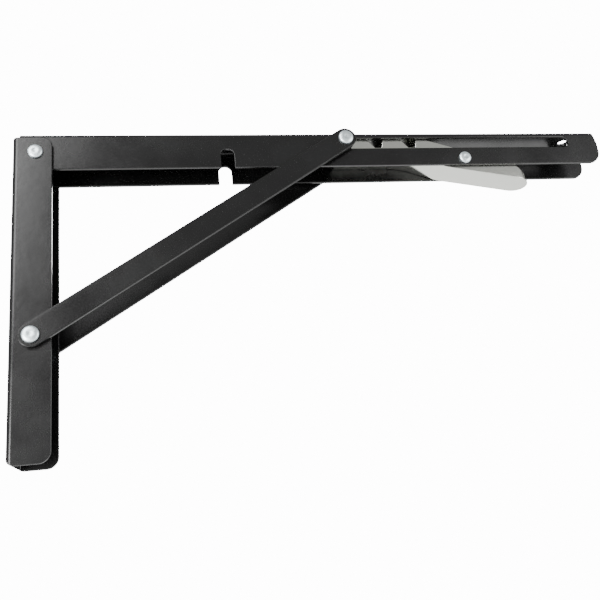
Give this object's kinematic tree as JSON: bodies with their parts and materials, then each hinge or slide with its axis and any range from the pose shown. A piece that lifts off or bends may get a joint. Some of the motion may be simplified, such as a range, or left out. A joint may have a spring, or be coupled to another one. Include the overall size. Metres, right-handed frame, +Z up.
{
  "type": "folding shelf bracket",
  "caption": "Folding shelf bracket of nested steel channels: an arm with slotted sides, a wall leg, a strut whose pin slides in the slots, and a toothed release lever.",
  "frame": {"origin": "the corner where the wall plane meets the shelf plane, at the middle of the bracket's width", "axes": "+X away from the wall along the open arm, +Z up out of the shelf face, +Y to the bracket's far side"},
  "size_m": [0.3, 0.0308, 0.153],
  "materials": {
    "black_paint": "gloss",
    "zinc_rivet": "satin",
    "zinc_lever": "satin",
    "spring_steel": "satin",
    "black_nylon": "matte"
  },
  "bodies": {
    "leg": {"wall_leg": "black_paint", "fold_pivot_rivet": "zinc_rivet", "strut_foot_rivet": "zinc_rivet"},
    "arm": {"shelf_arm": "black_paint", "lever_rivet": "zinc_rivet"},
    "strut": {"strut_bar_left": "black_paint", "strut_bar_right": "black_paint", "slide_pin_head_left": "zinc_rivet", "slide_pin_head_right": "zinc_rivet"},
    "slide_pin": {"slide_pin_shank_left": "zinc_rivet", "slide_pin_shank_right": "zinc_rivet", "pin_spacer_left": "black_nylon", "pin_spacer_right": "black_nylon"},
    "lever": {"release_lever": "zinc_lever", "lever_spring": "spring_steel"}
  },
  "joints": [
    {"name": "fold", "type": "hinge", "parent": "leg", "child": "arm", "pos_m": [0.0101, 0, -0.0108], "axis": [0, 1, 0], "range_deg": [0, 90]},
    {"name": "strut_swing", "type": "hinge", "parent": "leg", "child": "strut", "pos_m": [0.0096, 0, -0.0996], "axis": [0, 1, 0], "range_deg": [0, 120.47]},
    {"name": "pin_slide", "type": "slide", "parent": "arm", "child": "slide_pin", "axis": [1, 0, 0], "range_m": [0, 0.11656]},
    {"name": "lever_press", "type": "hinge", "parent": "arm", "child": "lever", "pos_m": [0.2219, 0, -0.0153], "axis": [0, -1, 0], "range_deg": [0, 12], "stiffness_Nm_per_rad": 0.15, "springref_deg": -17.19}
  ],
  "couplings": [
    {"joint": "strut_swing", "follows": "fold", "ratio": 1.338},
    {"joint": "pin_slide", "follows": "fold", "m_per_rad": 0.074142}
  ]
}
